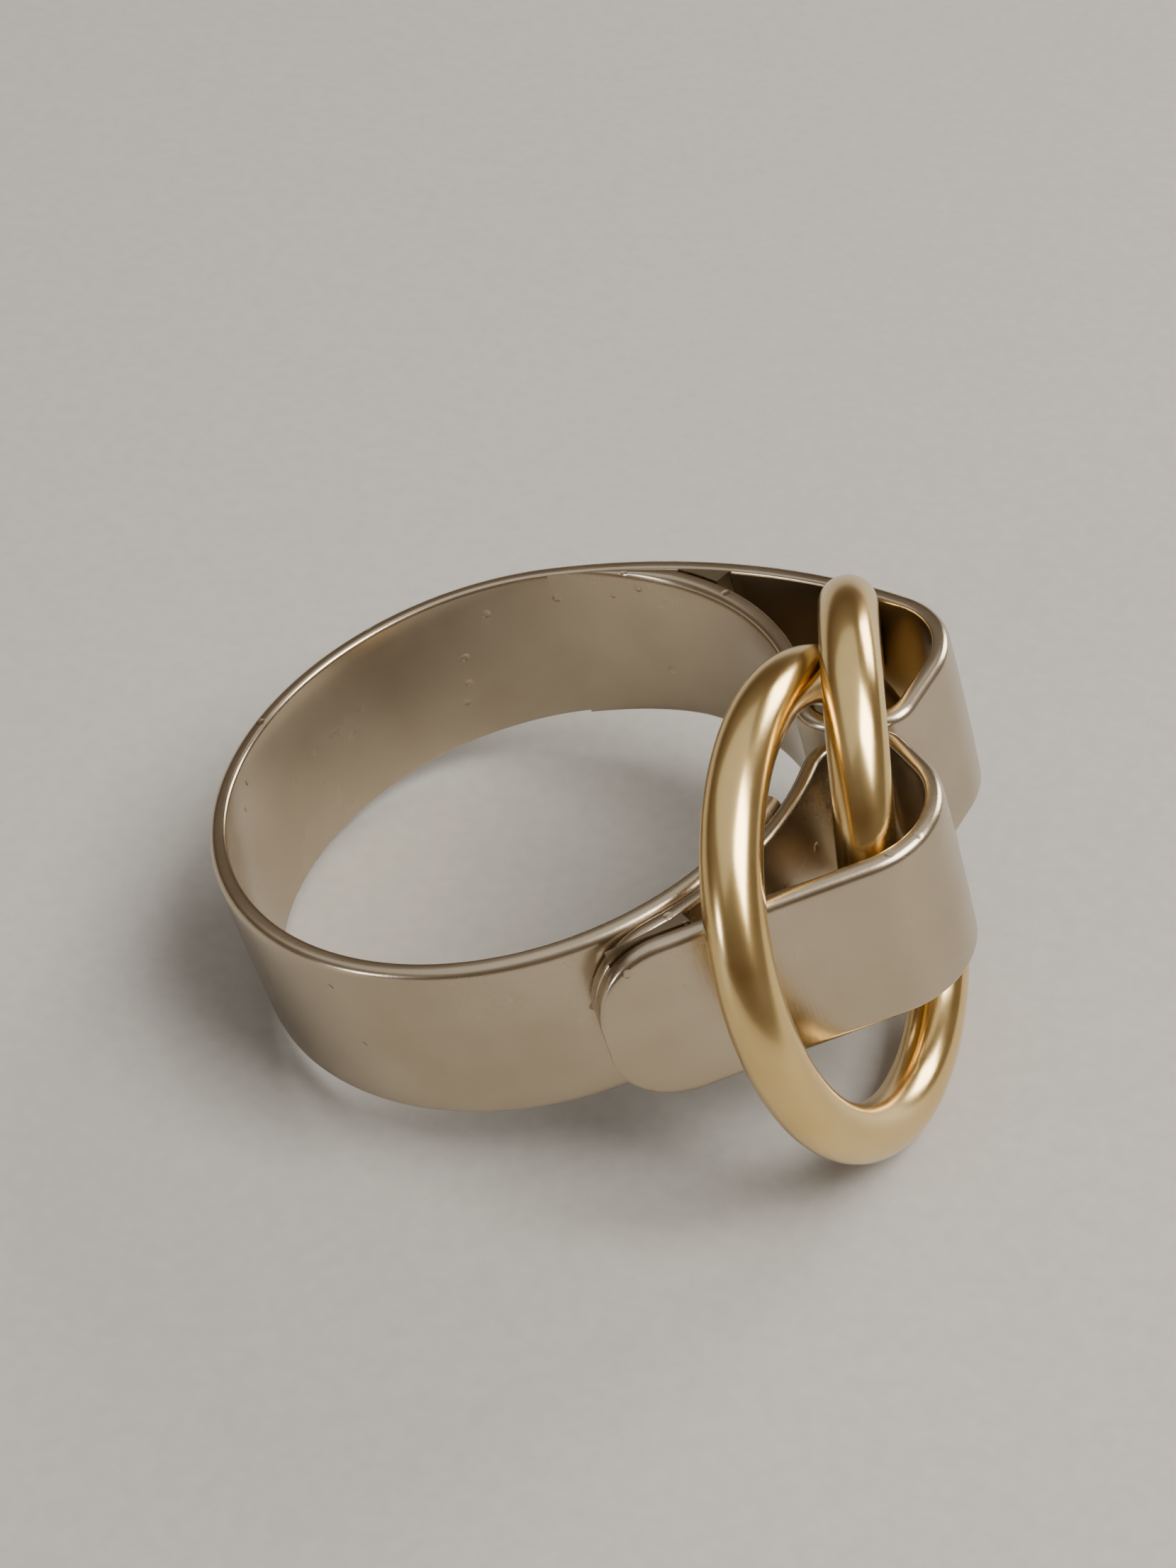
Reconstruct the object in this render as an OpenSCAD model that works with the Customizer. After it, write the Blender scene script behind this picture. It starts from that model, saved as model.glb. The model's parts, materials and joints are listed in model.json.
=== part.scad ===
// Silver finger ring with a looped head, tied together by two loose gold hoops.
// The bore runs along Z and the head points along +X. The origin is the centre of the bore.
// The near side is -Y and the far side is +Y. Each loop is a bent strip whose hole is called its eye.

/* [Band] */
// Inside diameter of the finger bore
bore_d = 17; // [16:0.1:19]
// Wall thickness of the band and of both loops
wall = 0.6; // [0.5:0.05:0.7]
// Width of the band and of both loops along Z
band_w = 5.6; // [4.8:0.1:5.8]
// Angle from the head to the near end of the band
near_end_angle = 18; // [15:1:24]

/* [Loops] */
// Radius of the round front of each eye
eye_r = 2.35; // [2.2:0.05:2.45]
// Distance of the near eye centre in front of the band's outer face
near_eye_reach = 1.27; // [1.1:0.05:1.35]
// Distance of the far eye centre in front of the band's outer face
far_eye_reach = 0.82; // [0.75:0.05:1]
// Sideways distance of the eye centres from the head axis
eye_offset = 3.35; // [3.25:0.05:3.45]
// Inside radius of the bends at the foot of the valley
foot_bend_r = 1; // [0.8:0.1:1.2]
// Inside radius of the bends where the loops part in front of the valley
mouth_bend_r = 0.6; // [0.5:0.1:0.8]
// Distance from the band's outer face to the point where the loops part
valley_depth = 1.9; // [1.8:0.05:2]
// Angle at which the near loop's tab ends
tab_angle = 66.5; // [66.3:0.1:70]

/* [Solder] */
// Thickness of the solder seam between the two loops
seam = 0.1; // [0.05:0.01:0.15]
// Angle at which the far loop leaves the band
far_leave_angle = 92; // [90:1:94]
// Angle at which the solder between the far strap and its liner stops
far_fill_angle = 54; // [50:1:58]
// Angle at which the solder under the near strap stops
near_fill_angle = 48; // [46:1:52]

/* [Hoops] */
// Wire diameter of both hoops
wire_d = 1.72; // [1.6:0.02:1.74]
// Radius of the near hoop to the middle of its wire
near_hoop_r = 6.48; // [6.46:0.01:6.5]
// Radius of the far hoop to the middle of its wire
far_hoop_r = 5.0; // [4.98:0.01:5.02]

/* [Hidden] */
$fn = 360;

bore_r = bore_d / 2;
band_r = bore_r + wall;
layer_r = band_r + wall;
seam_y = seam / 2;
fuse = 0.01;
// Depth by which the near strap's tab sinks into the strip below it
tab_lap = 0.02;
// Length of a wedge
reach = 60;
// Angle by which the solder stops short of the place where the near strap leaves
solder_stop = 3;

// Places of the hoops: the middle, the turn of the hoop's axis about Z and the outward lean of its top
near_hoop_at = [9.79, -3.51, -0.68];
near_hoop_turn = -8.3;
near_hoop_lean = -10.8;
far_hoop_at = [10.23, 0.34, 0.56];
far_hoop_turn = 8.9;
far_hoop_lean = 6.8;

SILVER = [0.80, 0.76, 0.70];
SOLDER = [0.70, 0.66, 0.60];
GOLD = [0.86, 0.70, 0.38];

function polar(r, a) = [r * cos(a), r * sin(a)];

function azimuth(p) = atan2(p[1], p[0]);

// Angle of the normal of the line that touches circle a and circle b on the side given by sign
function touch_angle(ca, ra, cb, rb, sign) = azimuth(cb - ca) + sign * acos((ra - rb) / norm(cb - ca));

// Radius of the bow that leaves circle r0 about the origin at angle a and runs into circle r1 about c
function bow_radius(r0, a, c, r1) =
    let (q = c * polar(1, a))
    (r1 * r1 - r0 * r0 - c * c + 2 * r0 * q) / (2 * (q - r0 + r1));

// Centre of the foot bend: it touches the circle of radius r from outside and the head axis strip
function foot_centre(r, t) =
    let (b = foot_bend_r + t / 2, y = seam_y + t / 2 + b)
    [sqrt(pow(r + b, 2) - y * y), y];

// Centre of the mouth bend
function mouth_centre(t) = [band_r + valley_depth, seam_y + t + mouth_bend_r];

// Wedge between two angles about the origin, longer than anything that it cuts
module wedge(a0, a1) {
    steps = ceil((a1 - a0) / 30);
    polygon([[0, 0], for (i = [0:steps]) polar(reach, a0 + (a1 - a0) * i / steps)]);
}

// Strip of thickness t whose middle follows an arc
module arc_strip(c, r, t, a0, a1) {
    translate(c)
    intersection() {
        difference() {
            circle(r + t / 2);
            circle(r - t / 2);
        }
        wedge(a0, a1);
    }
}

// Strip of thickness t whose middle runs straight from p to q, a little longer so that it fuses
module straight_strip(p, q, t) {
    translate(p)
    rotate(azimuth(q - p))
    translate([-fuse, -t / 2])
    square([norm(q - p) + 2 * fuse, t]);
}

// Foot bend, wall beside the valley, mouth bend and front of a loop, on the +Y side.
// base_r is the middle radius of the strip where it lies along the band, last_angle ends the round front.
module loop_front(base_r, t, eye, last_angle) {
    foot = foot_centre(base_r, t);
    mouth = mouth_centre(t);
    mouth_r = mouth_bend_r + t / 2;
    eye_mid_r = eye_r + t / 2;
    open_angle = touch_angle(mouth, mouth_r, eye, eye_mid_r, -1);
    arc_strip(foot, foot_bend_r + t / 2, t, azimuth(foot) - 180, -90);
    straight_strip([foot[0], seam_y + t / 2], [mouth[0], seam_y + t / 2], t);
    arc_strip(mouth, mouth_r, t, -90, open_angle);
    straight_strip(mouth + polar(mouth_r, open_angle), eye + polar(eye_mid_r, open_angle), t);
    arc_strip(eye, eye_mid_r, t, open_angle, last_angle);
}

// Flat shape made into a strip as wide as the band
module flat() {
    translate([0, 0, -band_w / 2])
    linear_extrude(band_w)
    children();
}

// C-shaped band, from the root of the far strap round the back to its near end
module band() {
    color(SILVER)
    flat()
    arc_strip([0, 0], bore_r + wall / 2, wall, far_leave_angle, 360 - near_end_angle);
}

near_eye = [band_r + near_eye_reach, eye_offset];
near_strap_r = layer_r + wall / 2 - tab_lap;
near_leave = touch_angle([0, 0], near_strap_r, near_eye, eye_r + wall / 2, 1);

module near_loop_outline() {
    base_r = band_r + wall / 2;
    arc_strip([0, 0], base_r, wall, azimuth(foot_centre(base_r, wall)), tab_angle);
    loop_front(base_r, wall, near_eye, near_leave);
    straight_strip(near_eye + polar(eye_r + wall / 2, near_leave), polar(near_strap_r, near_leave), wall);
    arc_strip([0, 0], near_strap_r, wall, near_leave, tab_angle);
}

// Near loop: a strip that lies on the band, turns out at the valley, curls round the near eye
// and comes back as a strap whose tab is soldered on top of its own start
module near_loop() {
    color(SILVER)
    mirror([0, 1, 0])
    flat()
    near_loop_outline();
}

far_eye = [band_r + far_eye_reach, eye_offset];
far_strap_r = band_r - wall / 2;
far_bow_r = bow_radius(far_strap_r, far_leave_angle, far_eye, eye_r + wall / 2);
far_bow_centre = polar(far_strap_r - far_bow_r, far_leave_angle);
far_bow_start = azimuth(far_eye - far_bow_centre);

// Inner strip of the far loop, which lines the bore and thins out where the strap leaves the band
module far_liner() {
    start = azimuth(foot_centre(bore_r + wall / 2, wall));
    intersection() {
        arc_strip([0, 0], bore_r + wall / 2, wall, start, far_leave_angle);
        translate(far_bow_centre)
        circle(far_bow_r - wall / 2);
    }
}

// Far loop: the strap leaves the band, curls round the far eye, comes back along the valley
// and turns in to line the bore
module far_loop() {
    color(SILVER)
    flat() {
        far_liner();
        loop_front(bore_r + wall / 2, wall, far_eye, far_bow_start);
        arc_strip(far_bow_centre, far_bow_r, wall, far_bow_start, far_leave_angle);
    }
}

// Solder that joins the walls of the two loops back to back
module valley_seam() {
    start = foot_centre(band_r + wall / 2, wall)[0];
    color(SOLDER)
    flat()
    translate([start, -seam_y])
    square([mouth_centre(wall)[0] - start, seam]);
}

// Solder under the near strap, between the strap and the strip that lies on the band
module near_solder() {
    color(SOLDER)
    mirror([0, 1, 0])
    flat()
    difference() {
        intersection() {
            wedge(near_fill_angle, near_leave - solder_stop);
            rotate(near_leave)
            translate([0, -band_r])
            square([layer_r - tab_lap, 2 * band_r]);
        }
        circle(layer_r);
    }
}

// Solder between the far strap and the liner, visible as a solid wedge at the edge of the band
module far_solder() {
    color(SOLDER)
    flat()
    difference() {
        intersection() {
            wedge(far_fill_angle, far_leave_angle);
            translate(far_bow_centre)
            circle(far_bow_r - wall / 2);
        }
        circle(band_r);
    }
}

// Wire hoop of radius r whose middle is at, which stands on edge with its axis turned by turn about Z
// and then leans out by lean at its top
module hoop(at, r, turn, lean) {
    translate(at)
    rotate([0, 90 + lean, turn])
    rotate_extrude()
    translate([r, 0])
    circle(d = wire_d, $fn = 64);
}

// Hoop round the near strap and the valley, through the far eye
module near_hoop() {
    color(GOLD)
    hoop(near_hoop_at, near_hoop_r, near_hoop_turn, near_hoop_lean);
}

// Hoop through both eyes, round the valley
module far_hoop() {
    color(GOLD)
    hoop(far_hoop_at, far_hoop_r, far_hoop_turn, far_hoop_lean);
}

band();
near_loop();
far_loop();
valley_seam();
near_solder();
far_solder();
near_hoop();
far_hoop();
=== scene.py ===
"""Finger ring with a looped head and two loose gold hoops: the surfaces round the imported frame."""

import json
import logging
import math
from dataclasses import dataclass, field
from enum import Enum

import bmesh
import bpy
from mathutils import Matrix, Vector

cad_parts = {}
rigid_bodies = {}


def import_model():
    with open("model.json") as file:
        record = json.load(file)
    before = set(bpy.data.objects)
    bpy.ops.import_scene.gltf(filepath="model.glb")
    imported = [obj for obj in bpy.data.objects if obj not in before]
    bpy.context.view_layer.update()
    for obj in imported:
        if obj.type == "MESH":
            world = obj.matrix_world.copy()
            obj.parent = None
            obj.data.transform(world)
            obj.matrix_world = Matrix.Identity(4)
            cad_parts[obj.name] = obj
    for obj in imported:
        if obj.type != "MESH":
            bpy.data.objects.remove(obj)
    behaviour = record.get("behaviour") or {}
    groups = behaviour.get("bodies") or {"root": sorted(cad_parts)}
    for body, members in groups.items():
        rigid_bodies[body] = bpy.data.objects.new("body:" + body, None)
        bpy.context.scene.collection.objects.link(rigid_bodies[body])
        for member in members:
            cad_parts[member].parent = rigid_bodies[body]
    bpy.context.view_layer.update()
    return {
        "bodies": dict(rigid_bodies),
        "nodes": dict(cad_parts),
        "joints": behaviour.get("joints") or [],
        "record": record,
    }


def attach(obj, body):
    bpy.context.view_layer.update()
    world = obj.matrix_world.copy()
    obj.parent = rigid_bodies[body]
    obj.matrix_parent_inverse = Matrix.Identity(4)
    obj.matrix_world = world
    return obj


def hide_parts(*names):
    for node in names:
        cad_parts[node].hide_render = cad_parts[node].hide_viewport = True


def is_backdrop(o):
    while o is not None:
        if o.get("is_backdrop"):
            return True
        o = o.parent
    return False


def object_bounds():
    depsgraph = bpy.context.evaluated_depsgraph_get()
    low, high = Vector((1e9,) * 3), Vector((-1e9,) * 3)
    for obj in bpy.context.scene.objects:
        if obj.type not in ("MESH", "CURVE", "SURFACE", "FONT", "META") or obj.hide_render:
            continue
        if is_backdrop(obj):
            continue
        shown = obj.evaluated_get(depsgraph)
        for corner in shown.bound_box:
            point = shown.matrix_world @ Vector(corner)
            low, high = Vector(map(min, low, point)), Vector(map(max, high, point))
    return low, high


MM = 0.001
# Thickness of the rounded ends of the near loop's strip over the strip's own
END_ROUNDING = 0.55
# Thickness that is left where the far loop's liner thins out, over the strip's own
FEATHER_REST = 0.02
# Steps in which the rounded end of the tab is made
TAB_STEPS = 12
# Half the side of the floor, in metres
FLOOR_HALF = 8
# Steepest tilt of the floor that is looked at, in degrees, and halvings of the range
STEEPEST_TILT, TILT_HALVINGS = 40, 40
# The camera: its place in metres, the way it looks, its roll in degrees, its lens and sensor
CAMERA_PLACE = (0.02957, -0.06771, 0.05937)
CAMERA_AHEAD = (-0.29347, 0.72637, -0.6215)
CAMERA_ROLL = -18.6111
LENS_MM, SENSOR_MM = 73.24, 36
LOG = logging.getLogger("ring")


class Slot(Enum):
    """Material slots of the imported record."""

    SILVER = "silver"
    SOLDER = "silver_solder"
    GOLD = "gold"


# --------------------------------------------------------------------------------------------------
# Plane geometry, in millimetres and degrees
# --------------------------------------------------------------------------------------------------


def polar(radius: float, angle: float) -> Vector:
    """Point at a distance and an angle from the bore's centre.

    Args:
        radius: distance from the centre.
        angle: angle from the head, in degrees.

    Returns:
        The point in plan.
    """
    turn = math.radians(angle)
    return Vector((radius * math.cos(turn), radius * math.sin(turn)))


def azimuth(point: Vector) -> float:
    """Angle of a plan point, in degrees."""
    return math.degrees(math.atan2(point[1], point[0]))


def touch_angle(a: Vector, ra: float, b: Vector, rb: float, sign: int) -> float:
    """Angle of the normal of a line that touches two circles.

    Args:
        a: centre of the first circle.
        ra: radius of the first circle.
        b: centre of the second circle.
        rb: radius of the second circle.
        sign: side on which the line passes.

    Returns:
        The angle in degrees.
    """
    return azimuth(b - a) + sign * math.degrees(math.acos((ra - rb) / (b - a).length))


# --------------------------------------------------------------------------------------------------
# Sizes
# --------------------------------------------------------------------------------------------------


@dataclass(frozen=True)
class RingSizes:
    """Sizes of the silver ring, in millimetres and degrees, as in the part's source."""

    bore_r: float = 8.5
    wall: float = 0.6
    width: float = 5.6
    near_end_angle: float = 18
    eye_r: float = 2.35
    near_eye_reach: float = 1.27
    far_eye_reach: float = 0.82
    eye_offset: float = 3.35
    foot_bend_r: float = 1
    mouth_bend_r: float = 0.6
    valley_depth: float = 1.9
    tab_angle: float = 66.5
    tab_corner_r: float = 2.2
    seam: float = 0.1
    tab_lap: float = 0.02
    far_leave_angle: float = 92

    @property
    def band_r(self) -> float:
        """Outer radius of the band."""
        return self.bore_r + self.wall

    @property
    def layer_r(self) -> float:
        """Outer radius of the strip that lies on the band."""
        return self.band_r + self.wall

    @property
    def eye_mid_r(self) -> float:
        """Radius of the middle of the strip round an eye."""
        return self.eye_r + self.wall / 2

    def foot(self, base_r: float) -> Vector:
        """Centre of the bend at the foot of the valley, for a strip whose middle lies at base_r."""
        bend = self.foot_bend_r + self.wall / 2
        y = self.seam / 2 + self.wall / 2 + bend
        return Vector((math.sqrt((base_r + bend) ** 2 - y * y), y))

    @property
    def mouth(self) -> Vector:
        """Centre of the bend where the loops part in front of the valley."""
        y = self.seam / 2 + self.wall + self.mouth_bend_r
        return Vector((self.band_r + self.valley_depth, y))


@dataclass(frozen=True)
class HoopSizes:
    """Place and size of one wire hoop, in millimetres and degrees."""

    node: str
    middle: tuple[float, float, float]
    radius: float
    turn: float
    lean: float
    wire_d: float = 1.72

    @property
    def axis(self) -> Vector:
        """Unit axis of the hoop."""
        turn, lean = math.radians(self.turn), math.radians(self.lean)
        flat = math.cos(lean)
        return Vector((math.cos(turn) * flat, math.sin(turn) * flat, -math.sin(lean)))

    def lowest(self, up: Vector) -> float:
        """Height of the hoop's lowest point along an up direction.

        Args:
            up: unit vector that points up.

        Returns:
            The height in millimetres.
        """
        tilt = up.dot(self.axis)
        drop = self.radius * math.sqrt(1 - tilt * tilt) + self.wire_d / 2
        return up.dot(Vector(self.middle)) - drop


RING = RingSizes()
NEAR_HOOP = HoopSizes("near_hoop", (9.79, -3.51, -0.68), 6.48, -8.3, -10.8)
FAR_HOOP = HoopSizes("far_hoop", (10.23, 0.34, 0.56), 5.0, 8.9, 6.8)


# --------------------------------------------------------------------------------------------------
# Strip bending
# --------------------------------------------------------------------------------------------------


@dataclass
class StripBender:
    """Bends a flat strip along a plan route, the way it is bent at the bench.

    The strip's section is drawn once and pushed forward, turn by turn. Left and right are those of
    somebody who walks along the route.
    """

    start: Vector
    heading: float
    thickness: float = 0.6
    width: float = 5.6
    left_edge_r: float = 0.14
    right_edge_r: float = 0.3
    crown: float = 0.03
    bm: bmesh.types.BMesh = field(default_factory=bmesh.new)

    def __post_init__(self) -> None:
        """Draws the section: a rectangle with rounded corners and faintly crowned faces."""
        made = bmesh.ops.create_grid(self.bm, x_segments=1, y_segments=1, size=0.5)
        bmesh.ops.scale(self.bm, vec=(self.thickness, self.width, 1), verts=made["verts"])
        for side, radius in ((1, self.left_edge_r), (-1, self.right_edge_r)):
            corners = [v for v in self.bm.verts if abs(v.co.x - side * self.thickness / 2) < 1e-6]
            bmesh.ops.bevel(
                self.bm, geom=corners, offset=radius, offset_type="OFFSET", segments=5,
                profile=0.5, affect="VERTICES", material=-1,
            )
        long_edges = [
            e for e in self.bm.edges if abs(e.verts[0].co.y - e.verts[1].co.y) > self.width / 2
        ]
        bmesh.ops.subdivide_edges(self.bm, edges=long_edges, cuts=9)
        half = self.width / 2
        for v in self.bm.verts:
            v.co.x *= 1 - 2 * self.crown / self.thickness * (v.co.y / half) ** 2
        turn = math.radians(self.heading)
        left = Vector((-math.sin(turn), math.cos(turn), 0))
        ahead = Vector((math.cos(turn), math.sin(turn), 0))
        frame = Matrix((left, Vector((0, 0, 1)), ahead)).transposed().to_4x4()
        frame.translation = self.start.to_3d()
        bmesh.ops.transform(self.bm, matrix=frame, verts=self.bm.verts[:])
        self.tip = self.bm.verts[:] + self.bm.edges[:] + self.bm.faces[:]

    def _push(self, move: Matrix) -> None:
        """Extrudes the tip of the strip once and moves it."""
        out = bmesh.ops.extrude_face_region(self.bm, geom=self.tip)["geom"]
        self.tip = out
        bmesh.ops.transform(self.bm, matrix=move, verts=self.tip_verts())

    def tip_verts(self) -> list[bmesh.types.BMVert]:
        """Vertices of the section at the strip's tip."""
        return [g for g in self.tip if isinstance(g, bmesh.types.BMVert)]

    def straight(self, length: float, steps: int = 1) -> None:
        """Runs straight ahead.

        Args:
            length: length of the run.
            steps: number of pieces it is made in.
        """
        turn = math.radians(self.heading)
        ahead = Vector((math.cos(turn), math.sin(turn), 0)) * (length / steps)
        for _ in range(steps):
            self._push(Matrix.Translation(ahead))

    def bend(self, centre: Vector, angle: float, step: float = 3) -> None:
        """Bends round a point.

        Args:
            centre: centre of the bend in plan.
            angle: angle of the bend in degrees, positive to the left.
            step: largest angle between two sections.
        """
        steps = max(1, math.ceil(abs(angle) / step))
        middle = Matrix.Translation(centre.to_3d())
        part = middle @ Matrix.Rotation(math.radians(angle / steps), 4, "Z") @ middle.inverted()
        for _ in range(steps):
            self._push(part)
        self.heading += angle

    def squeeze(self, width_ratio: float, thickness_ratio: float = 1) -> None:
        """Makes the section at the tip smaller about its middle.

        Args:
            width_ratio: new width over the present one.
            thickness_ratio: new thickness over the present one.
        """
        verts = self.tip_verts()
        middle = sum((v.co for v in verts), Vector()) / len(verts)
        turn = Matrix.Rotation(math.radians(-self.heading), 4, "Z") @ Matrix.Translation(-middle)
        bmesh.ops.scale(self.bm, vec=(1, thickness_ratio, width_ratio), verts=verts, space=turn)

    def finish(self, name: str, mirrored: bool = False) -> bpy.types.Object:
        """Turns the strip into a finished object, in metres.

        Args:
            name: name of the object.
            mirrored: whether the strip is mirrored to the near side.

        Returns:
            The object, linked to the scene.
        """
        if mirrored:
            bmesh.ops.scale(self.bm, vec=(1, -1, 1), verts=self.bm.verts[:])
        return finish_mesh(self.bm, name)


def finish_mesh(bm: bmesh.types.BMesh, name: str, sharp: float = 50) -> bpy.types.Object:
    """Scales a shape to metres, turns its faces outwards, smooths it and links it.

    Args:
        bm: the shape in millimetres.
        name: name of the object.
        sharp: edges whose faces meet at more than this angle, in degrees, stay sharp.

    Returns:
        The object at the origin.
    """
    bmesh.ops.recalc_face_normals(bm, faces=bm.faces[:])
    bmesh.ops.scale(bm, vec=(MM, MM, MM), verts=bm.verts[:])
    for face in bm.faces:
        face.smooth = True
    for edge in bm.edges:
        if len(edge.link_faces) == 2 and edge.calc_face_angle() > math.radians(sharp):
            edge.smooth = False
    mesh = bpy.data.meshes.new(name)
    bm.to_mesh(mesh)
    bm.free()
    piece = bpy.data.objects.new(name, mesh)
    bpy.context.scene.collection.objects.link(piece)
    return piece


# --------------------------------------------------------------------------------------------------
# Materials
# --------------------------------------------------------------------------------------------------


def linear(code: str) -> tuple[float, float, float, float]:
    """Turns an sRGB hex colour into a linear one.

    Args:
        code: colour such as "C9BCA9".

    Returns:
        Linear red, green, blue and an alpha of 1.
    """
    parts = [int(code[i : i + 2], 16) / 255 for i in (0, 2, 4)]
    red, green, blue = (c / 12.92 if c <= 0.04045 else ((c + 0.055) / 1.055) ** 2.4 for c in parts)
    return red, green, blue, 1.0


def add(
    tree: bpy.types.NodeTree,
    kind: str,
    values: dict | None = None,
    links: dict | None = None,
    **settings: object,
) -> bpy.types.Node:
    """Adds a node with its settings, socket values and incoming links.

    Args:
        tree: the node tree.
        kind: the node's type.
        values: socket name or number to its constant.
        links: socket name or number to the output that feeds it.
        settings: properties of the node itself.

    Returns:
        The node.
    """
    node = tree.nodes.new(kind)
    for name, value in settings.items():
        setattr(node, name, value)
    for name, value in (values or {}).items():
        node.inputs[name].default_value = value
    for name, output in (links or {}).items():
        tree.links.new(output, node.inputs[name])
    return node


def ramp(
    tree: bpy.types.NodeTree, source: bpy.types.NodeSocket, stops: list[tuple[float, str]]
) -> bpy.types.Node:
    """Adds a colour ramp.

    Args:
        tree: the node tree.
        source: output that feeds the ramp.
        stops: positions with their sRGB hex colours.

    Returns:
        The ramp node.
    """
    node = add(tree, "ShaderNodeValToRGB", links={"Fac": source})
    ends = node.color_ramp.elements
    while len(ends) < len(stops):
        ends.new(0.5)
    for end, (place, code) in zip(ends, stops):
        end.position = place
        end.color = linear(code)
    return node


@dataclass(frozen=True)
class WornMetal:
    """A polished metal that has been worn: clean colour, faint patina, fine scratches and dents.

    Real polishing scratches are about 0.02 mm apart, which is too fine to show, so they are drawn
    four times as coarse.
    """

    name: str
    clean: str
    patina: str
    roughness: float
    rough_spread: float
    patina_mm: float = 3.0
    scratch_mm: float = 0.08
    dent_mm: float = 2.5
    scratch_depth_mm: float = 0.002
    dent_depth_mm: float = 0.012
    pit_mm: float = 1.2
    pit_depth_mm: float = 0.0

    def build(self) -> bpy.types.Material:
        """Builds the material.

        Returns:
            The material.
        """
        material = bpy.data.materials.new(self.name)
        material.use_nodes = True
        tree = material.node_tree
        tree.nodes.clear()
        place = add(tree, "ShaderNodeTexCoord").outputs["Object"]
        cloud = add(
            tree, "ShaderNodeTexNoise",
            {"Scale": 1 / (self.patina_mm * MM), "Detail": 5.0, "Roughness": 0.6}, {"Vector": place},
        )
        colour = ramp(tree, cloud.outputs["Fac"], [(0.25, self.patina), (0.75, self.clean)])
        stretch = add(tree, "ShaderNodeMapping", {"Scale": (1.0, 1.0, 0.06)}, {"Vector": place})
        scratch = add(
            tree, "ShaderNodeTexNoise",
            {"Scale": 1 / (self.scratch_mm * MM), "Detail": 3.0}, {"Vector": stretch.outputs["Vector"]},
        )
        crossing = add(
            tree, "ShaderNodeTexNoise",
            {"Scale": 0.5 / (self.patina_mm * MM), "Detail": 6.0, "Roughness": 0.7}, {"Vector": place},
        )
        duller = self.roughness + self.rough_spread
        rough = add(
            tree, "ShaderNodeMapRange",
            {"From Min": 0.3, "From Max": 0.7, "To Min": self.roughness, "To Max": duller},
            {"Value": crossing.outputs["Fac"]},
        )
        dent = add(
            tree, "ShaderNodeTexNoise",
            {"Scale": 1 / (self.dent_mm * MM), "Detail": 1.5}, {"Vector": place},
        )
        normal = self._carve(tree, self.dent_depth_mm, dent.outputs["Fac"])
        normal = self._carve(tree, self.scratch_depth_mm, scratch.outputs["Fac"], normal)
        if self.pit_depth_mm:
            cells = add(
                tree, "ShaderNodeTexVoronoi", {"Scale": 1 / (self.pit_mm * MM)}, {"Vector": place},
            )
            hole = add(
                tree, "ShaderNodeMapRange",
                {"From Min": 0.05, "From Max": 0.14, "To Min": 0.0, "To Max": 1.0},
                {"Value": cells.outputs["Distance"]}, interpolation_type="SMOOTHSTEP",
            )
            normal = self._carve(tree, self.pit_depth_mm, hole.outputs["Result"], normal)
        shader = add(
            tree, "ShaderNodeBsdfPrincipled", {"Metallic": 1.0},
            {
                "Base Color": colour.outputs["Color"],
                "Roughness": rough.outputs["Result"],
                "Normal": normal.outputs["Normal"],
            },
        )
        add(tree, "ShaderNodeOutputMaterial", links={"Surface": shader.outputs["BSDF"]})
        return material

    def _carve(
        self,
        tree: bpy.types.NodeTree,
        depth_mm: float,
        height: bpy.types.NodeSocket,
        below: bpy.types.Node | None = None,
    ) -> bpy.types.Node:
        """Lays one relief over the reliefs below it.

        Args:
            tree: the material's node tree.
            depth_mm: depth of the relief.
            height: output that gives its height.
            below: the relief that it lies on.

        Returns:
            The bump node.
        """
        links = {"Height": height}
        if below:
            links["Normal"] = below.outputs["Normal"]
        values = {"Strength": 1.0, "Distance": depth_mm * MM}
        return add(tree, "ShaderNodeBump", values, links)


# Sterling silver, hand-filed and tumbled to a shine: warm reflections, broken by soft dents and pits
WORN_SILVER = WornMetal(
    "worn sterling silver", "C6B9A4", "AE9F87", 0.2, 0.1,
    patina_mm=6.0, dent_depth_mm=0.006, pit_depth_mm=0.02,
)
# Hard silver solder, filed flush: a little greyer and duller than the strips, with small pits
HARD_SOLDER = WornMetal(
    "hard silver solder", "A89982", "857863", 0.26, 0.16, pit_mm=0.5, pit_depth_mm=0.03,
)
# Polished 18 carat gold wire, drawn, closed by hand and worn: soft bright bands with a slow wobble
POLISHED_GOLD = WornMetal(
    "polished yellow gold", "E6CB92", "DABA7A", 0.17, 0.08,
    dent_mm=2.5, dent_depth_mm=0.012, scratch_depth_mm=0.0008,
)


def table_top() -> bpy.types.Material:
    """Painted board: plain, pale and matt, with the faintest unevenness.

    Returns:
        The material.
    """
    material = bpy.data.materials.new("matt painted board")
    material.use_nodes = True
    tree = material.node_tree
    tree.nodes.clear()
    place = add(tree, "ShaderNodeTexCoord").outputs["Object"]
    grain = add(tree, "ShaderNodeTexNoise", {"Scale": 1 / (0.5 * MM), "Detail": 4.0}, {"Vector": place})
    colour = ramp(tree, grain.outputs["Fac"], [(0.3, "9E9C98"), (0.7, "A4A29E")])
    shader = add(
        tree, "ShaderNodeBsdfPrincipled", {"Roughness": 0.6}, {"Base Color": colour.outputs["Color"]},
    )
    add(tree, "ShaderNodeOutputMaterial", links={"Surface": shader.outputs["BSDF"]})
    return material


# --------------------------------------------------------------------------------------------------
# Sub-assemblies
# --------------------------------------------------------------------------------------------------


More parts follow.
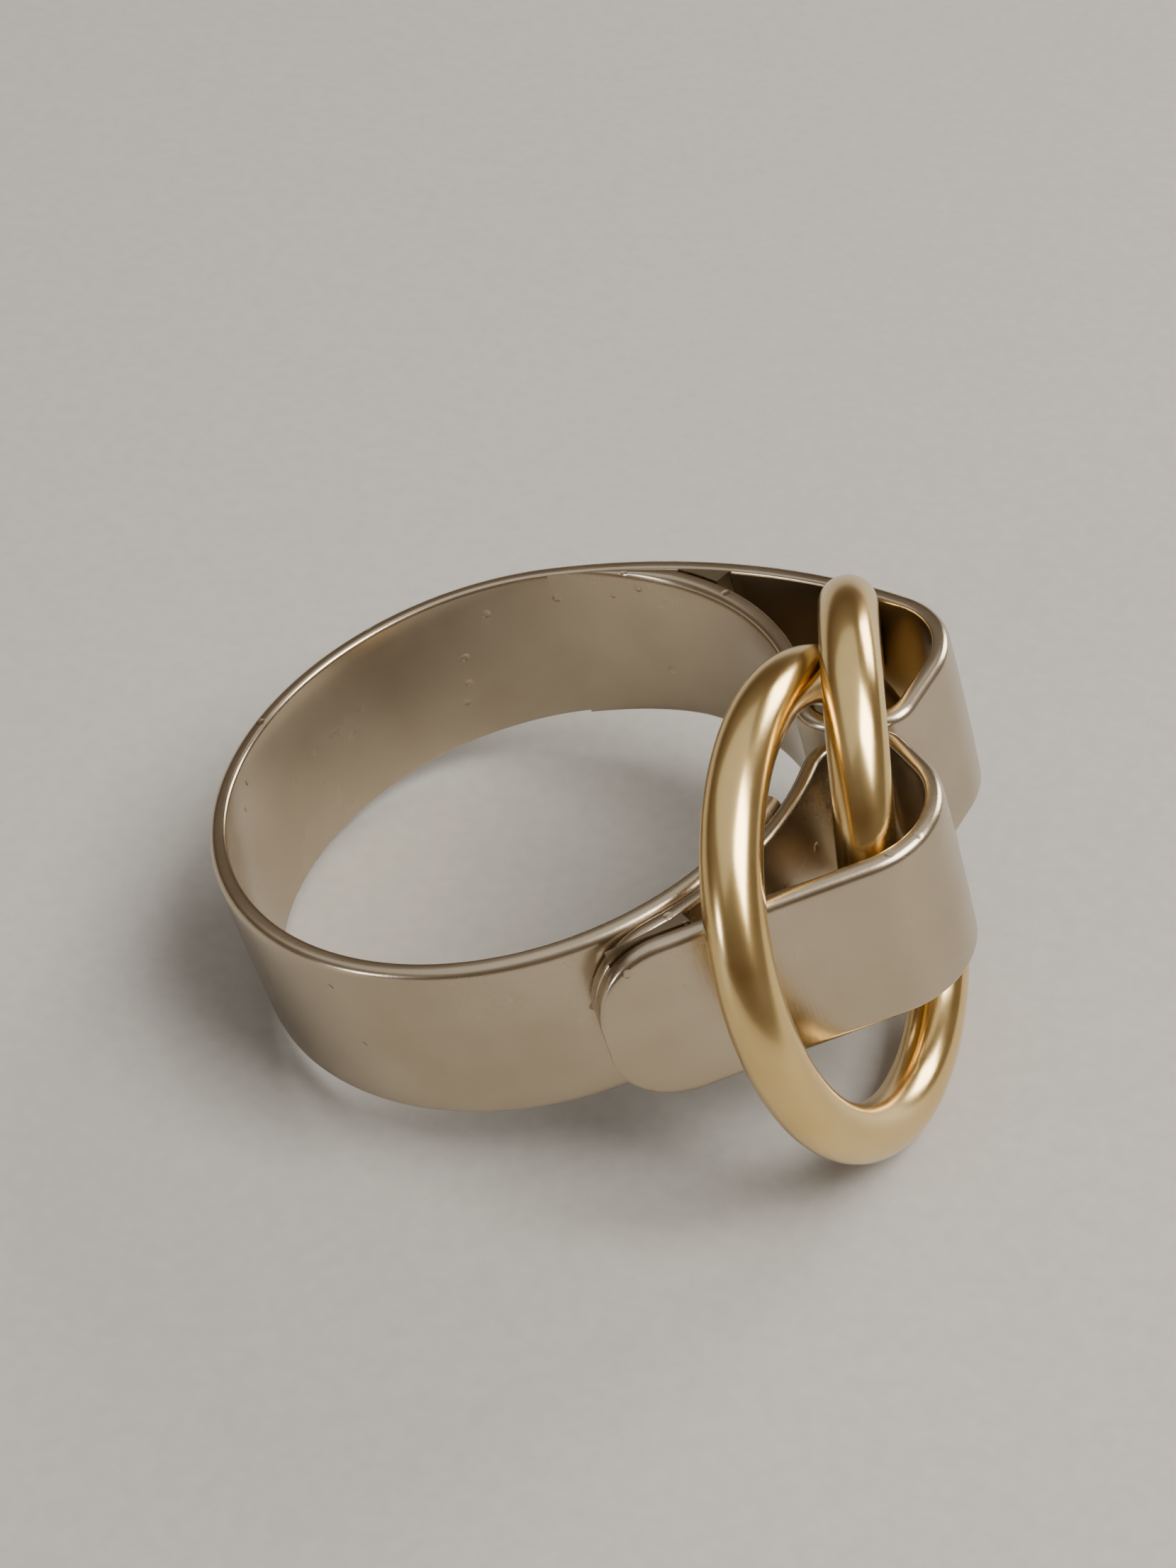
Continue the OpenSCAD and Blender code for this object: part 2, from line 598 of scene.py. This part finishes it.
def dress(
    piece: bpy.types.Object, material: bpy.types.Material, body: str, slot: Slot, *nodes: str
) -> None:
    """Gives a piece its finish and its body, and lets it stand for CAD nodes.

    Args:
        piece: the piece.
        material: its finish.
        body: the body it rides on.
        slot: the record's slot, not used.
        nodes: the CAD nodes it stands for.
    """
    piece.data.materials.clear()
    piece.data.materials.append(material)
    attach(piece, body)
    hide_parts(*nodes)
    LOG.info("%s stands for %s, %d faces", piece.name, ", ".join(nodes), len(piece.data.polygons))


@dataclass
class SilverRing:
    """The silver ring: band, two bent loops and the solder between them."""

    sizes: RingSizes
    silver: bpy.types.Material
    solder: bpy.types.Material
    body: str = "ring"

    def band(self) -> bpy.types.Object:
        """Bends the C-shaped band from the root of the far strap round the back to its near end."""
        s = self.sizes
        strip = StripBender(polar(s.bore_r + s.wall / 2, s.far_leave_angle), s.far_leave_angle + 90)
        strip.bend(Vector((0, 0)), 360 - s.near_end_angle - s.far_leave_angle, 2)
        return strip.finish("silver_band")

    def _front(self, strip: StripBender, base_r: float, eye: Vector, last_angle: float) -> None:
        """Bends the foot, the wall beside the valley, the mouth and the round front of a loop.

        Args:
            strip: the strip, whose tip has reached the foot.
            base_r: radius of the middle of the strip where it lies round the bore.
            eye: centre of the eye.
            last_angle: angle at which the round front ends.
        """
        s = self.sizes
        foot, mouth = s.foot(base_r), s.mouth
        mouth_r = s.mouth_bend_r + s.wall / 2
        opening = touch_angle(mouth, mouth_r, eye, s.eye_mid_r, -1)
        strip.bend(foot, 90 - azimuth(foot), 7)
        strip.straight(mouth.x - foot.x)
        strip.bend(mouth, opening + 90, 7)
        gap = eye + polar(s.eye_mid_r, opening) - mouth - polar(mouth_r, opening)
        strip.straight(gap.length)
        strip.bend(eye, last_angle - opening, 4)

    def near_loop(self) -> bpy.types.Object:
        """Bends the near loop, from under its tab round the near eye and back to the tab."""
        s = self.sizes
        centre = Vector((0, 0))
        base_r, strap_r = s.band_r + s.wall / 2, s.layer_r + s.wall / 2 - s.tab_lap
        eye = Vector((s.band_r + s.near_eye_reach, s.eye_offset))
        leave = touch_angle(centre, strap_r, eye, s.eye_mid_r, 1)
        strip = StripBender(polar(base_r, s.tab_angle), s.tab_angle - 90)
        strip.squeeze(self._tab_share(0), END_ROUNDING)
        reach = 0.0
        for part in self._tab_parts():
            before = self._tab_share(reach)
            strip.bend(centre, -math.degrees(part / base_r), 90)
            thicker = 1 if reach else 1 / END_ROUNDING
            reach += part
            strip.squeeze(self._tab_share(reach) / before, thicker)
        strip.bend(centre, azimuth(s.foot(base_r)) - s.tab_angle + math.degrees(reach / base_r))
        self._front(strip, base_r, eye, leave)
        strap = polar(strap_r, leave) - eye - polar(s.eye_mid_r, leave)
        onto_band = math.radians(s.tab_angle - leave) * strap_r
        strip.straight(strap.length + onto_band - s.tab_corner_r, 4)
        reach = s.tab_corner_r
        for part in reversed(self._tab_parts()):
            before = self._tab_share(reach)
            if reach > onto_band:
                strip.straight(part)
            else:
                strip.bend(centre, math.degrees(part / strap_r), 90)
            reach -= part
            strip.squeeze(self._tab_share(reach) / before, 1 if reach > 1e-6 else END_ROUNDING)
        return strip.finish("silver_near_loop", mirrored=True)

    def _tab_parts(self) -> list[float]:
        """Lengths of the steps from the tab's end to where it has its full width."""
        r = self.sizes.tab_corner_r
        marks = [r * (1 - math.cos(math.pi / 2 * k / TAB_STEPS)) for k in range(TAB_STEPS + 1)]
        return [b - a for a, b in zip(marks, marks[1:])]

    def _tab_share(self, reach: float) -> float:
        """Share of the full width that the tab has.

        Args:
            reach: distance from the tab's end.

        Returns:
            The share, at most 1.
        """
        r = self.sizes.tab_corner_r
        cut = r - math.sqrt(max(0.0, r * r - max(0.0, r - reach) ** 2))
        return 1 - 2 * cut / self.sizes.width

    def far_loop(self) -> bpy.types.Object:
        """Bends the far loop, from its feathered start in the bore round the far eye to the band."""
        s = self.sizes
        base_r = s.bore_r + s.wall / 2
        eye = Vector((s.band_r + s.far_eye_reach, s.eye_offset))
        normal = polar(1, s.far_leave_angle)
        along = eye.dot(normal)
        bow_r = (s.eye_mid_r**2 - base_r**2 - eye.length_squared + 2 * base_r * along) / (
            2 * (along - base_r + s.eye_mid_r)
        )
        bow = polar(base_r - bow_r, s.far_leave_angle)
        bow_start = azimuth(eye - bow)
        strip = StripBender(polar(base_r, s.far_leave_angle), s.far_leave_angle - 90)
        strip.bend(Vector((0, 0)), azimuth(s.foot(base_r)) - s.far_leave_angle, 2)
        self._feather(strip.bm, bow, bow_r - s.wall / 2)
        self._front(strip, base_r, eye, bow_start)
        strip.bend(bow, s.far_leave_angle - bow_start, 2)
        return strip.finish("silver_far_loop")

    def _feather(self, bm: bmesh.types.BMesh, bow: Vector, inner_r: float) -> None:
        """Thins the start of the strip that lines the bore, so that it ends where the strap begins.

        Args:
            bm: the strip so far.
            bow: centre of the bowed strap.
            inner_r: inner radius of the bowed strap.
        """
        s = self.sizes
        for v in bm.verts:
            ray = v.co.xy.normalized()
            along = ray.dot(bow)
            limit = along + math.sqrt(along * along - bow.length_squared + inner_r * inner_r)
            share = min(1.0, max(FEATHER_REST, (limit - s.bore_r) / s.wall))
            reach = s.bore_r + (v.co.xy.length - s.bore_r) * share
            v.co.x, v.co.y = ray.x * reach, ray.y * reach

    def build(self, nodes: dict[str, bpy.types.Object]) -> None:
        """Makes every silver piece.

        Args:
            nodes: CAD nodes by name.
        """
        for make in (self.band, self.near_loop, self.far_loop):
            dress(make(), self.silver, self.body, Slot.SILVER, make.__name__)
        for node in ("valley_seam", "near_solder", "far_solder"):
            nodes[node].data.materials.clear()
            nodes[node].data.materials.append(self.solder)
            LOG.info("%s keeps its CAD shape", node)


@dataclass
class GoldHoop:
    """One loose hoop of round wire."""

    sizes: HoopSizes
    gold: bpy.types.Material
    wire_steps: int = 48
    round_steps: int = 240

    def build(self) -> None:
        """Spins the wire section round the hoop's axis and puts the hoop in its place."""
        s = self.sizes
        bm = bmesh.new()
        ring = bmesh.ops.create_circle(bm, segments=self.wire_steps, radius=s.wire_d / 2)["verts"]
        bmesh.ops.rotate(bm, verts=ring, matrix=Matrix.Rotation(math.pi / 2, 3, "X"))
        bmesh.ops.translate(bm, verts=ring, vec=(s.radius, 0, 0))
        bmesh.ops.spin(
            bm, geom=bm.edges[:] + bm.verts[:], cent=(0, 0, 0), axis=(0, 0, 1),
            angle=2 * math.pi, steps=self.round_steps, use_merge=True,
        )
        turn = Vector((0, 0, 1)).rotation_difference(s.axis).to_matrix().to_4x4()
        bmesh.ops.transform(bm, matrix=Matrix.Translation(s.middle) @ turn, verts=bm.verts[:])
        dress(finish_mesh(bm, f"gold_{s.node}"), self.gold, s.node, Slot.GOLD, s.node)


# --------------------------------------------------------------------------------------------------
# Studio
# --------------------------------------------------------------------------------------------------


@dataclass(frozen=True)
class SoftBox:
    """A square area light that looks at the ring."""

    name: str
    place: tuple[float, float, float]
    size: float
    watts: float
    colour: str

    def build(self, target: Vector) -> None:
        """Hangs the light.

        Args:
            target: point that the light faces, in metres.
        """
        light = bpy.data.lights.new(self.name, "AREA")
        light.shape = "SQUARE"
        light.size = self.size
        light.energy = self.watts
        light.color = linear(self.colour)[:3]
        lamp = bpy.data.objects.new(self.name, light)
        place = Vector(self.place)
        aim = (target - place).to_track_quat("-Z", "Y").to_matrix().to_4x4()
        lamp.matrix_world = Matrix.Translation(place) @ aim
        bpy.context.scene.collection.objects.link(lamp)


@dataclass
class Studio:
    """Floor, lights and camera."""

    ring: RingSizes
    hoop: HoopSizes

    def floor_tilt(self) -> float:
        """Angle between the bore's axis and upright when the ring rests on its back rim and a hoop.

        Returns:
            The angle in radians.
        """
        low, high = 0.0, math.radians(STEEPEST_TILT)
        for _ in range(TILT_HALVINGS):
            middle = (low + high) / 2
            up = Vector((math.sin(middle), 0, math.cos(middle)))
            rim = -self.ring.band_r * up.x - self.ring.width / 2 * up.z
            if self.hoop.lowest(up) < rim:
                low = middle
            else:
                high = middle
        return (low + high) / 2

    def floor(self) -> None:
        """Lays the pale floor under the ring."""
        tilt = self.floor_tilt()
        up = Vector((math.sin(tilt), 0, math.cos(tilt)))
        drop = self.hoop.lowest(up) * MM
        bm = bmesh.new()
        bmesh.ops.create_grid(bm, x_segments=1, y_segments=1, size=FLOOR_HALF)
        place = Matrix.Translation(up * drop) @ Matrix.Rotation(tilt, 4, "Y")
        bmesh.ops.transform(bm, matrix=place, verts=bm.verts[:])
        mesh = bpy.data.meshes.new("floor")
        bm.to_mesh(mesh)
        bm.free()
        mesh.materials.append(table_top())
        floor = bpy.data.objects.new("floor", mesh)
        bpy.context.scene.collection.objects.link(floor)
        floor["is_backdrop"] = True
        LOG.info("floor tilted by %.1f degrees", math.degrees(tilt))

    def room(self) -> None:
        """Surrounds the ring with a pale room whose walls are browner at eye level."""
        world = bpy.data.worlds.new("studio room")
        bpy.context.scene.world = world
        world.use_nodes = True
        tree = world.node_tree
        tree.nodes.clear()
        way = add(tree, "ShaderNodeTexCoord").outputs["Generated"]
        height = add(tree, "ShaderNodeSeparateXYZ", links={"Vector": way})
        shade = ramp(tree, height.outputs["Z"], [(0.0, "8A7E6F"), (0.3, "6A563F"), (0.9, "A8A196")])
        sky = add(tree, "ShaderNodeBackground", {"Strength": 0.8}, {"Color": shade.outputs["Color"]})
        add(tree, "ShaderNodeOutputWorld", links={"Surface": sky.outputs["Background"]})

    def lights(self) -> None:
        """Hangs the soft boxes."""
        target = Vector((0.004, 0, 0))
        SoftBox("window", (0.33, -0.07, 0.30), 0.27, 3.4, "FFFAF2").build(target)
        SoftBox("side_window", (0.31, 0.37, 0.14), 0.2, 1.6, "FFFAF2").build(target)
        SoftBox("far_window", (-0.31, -0.26, 0.18), 0.06, 0.3, "F4F6FF").build(target)
        SoftBox("ceiling", (-0.02, 0.05, 0.80), 1.2, 2.2, "FFFFFF").build(target)

    def camera(self) -> None:
        """Sets up the camera."""
        ahead = Vector(CAMERA_AHEAD).normalized()
        right = ahead.cross(Vector((0, 0, 1))).normalized()
        up = right.cross(ahead)
        frame = Matrix((right, up, -ahead)).transposed().to_4x4()
        frame.translation = Vector(CAMERA_PLACE)
        lens = bpy.data.cameras.new("camera")
        lens.lens = LENS_MM
        lens.sensor_width = SENSOR_MM
        lens.clip_start = 5 * MM
        body = bpy.data.objects.new("camera", lens)
        body.matrix_world = frame @ Matrix.Rotation(math.radians(CAMERA_ROLL), 4, "Z")
        bpy.context.scene.collection.objects.link(body)
        bpy.context.scene.camera = body

    def build(self) -> None:
        """Sets up the whole studio."""
        self.camera()
        self.floor()
        self.room()
        self.lights()


def corners() -> list[list[float]]:
    """Lowest and highest corners of the whole object, as plain lists."""
    return [[round(float(c), 7) for c in corner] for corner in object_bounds()]


def main() -> None:
    """Builds the ring, the hoops and the studio."""
    logging.basicConfig(level=logging.INFO, format="%(name)s: %(message)s")
    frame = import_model()
    Studio(RING, NEAR_HOOP).build()
    silver, solder, gold = (finish.build() for finish in (WORN_SILVER, HARD_SOLDER, POLISHED_GOLD))
    SilverRing(RING, silver, solder).build(frame["nodes"])
    for sizes in (NEAR_HOOP, FAR_HOOP):
        GoldHoop(sizes, gold).build()


if __name__ == "__main__":
    main()
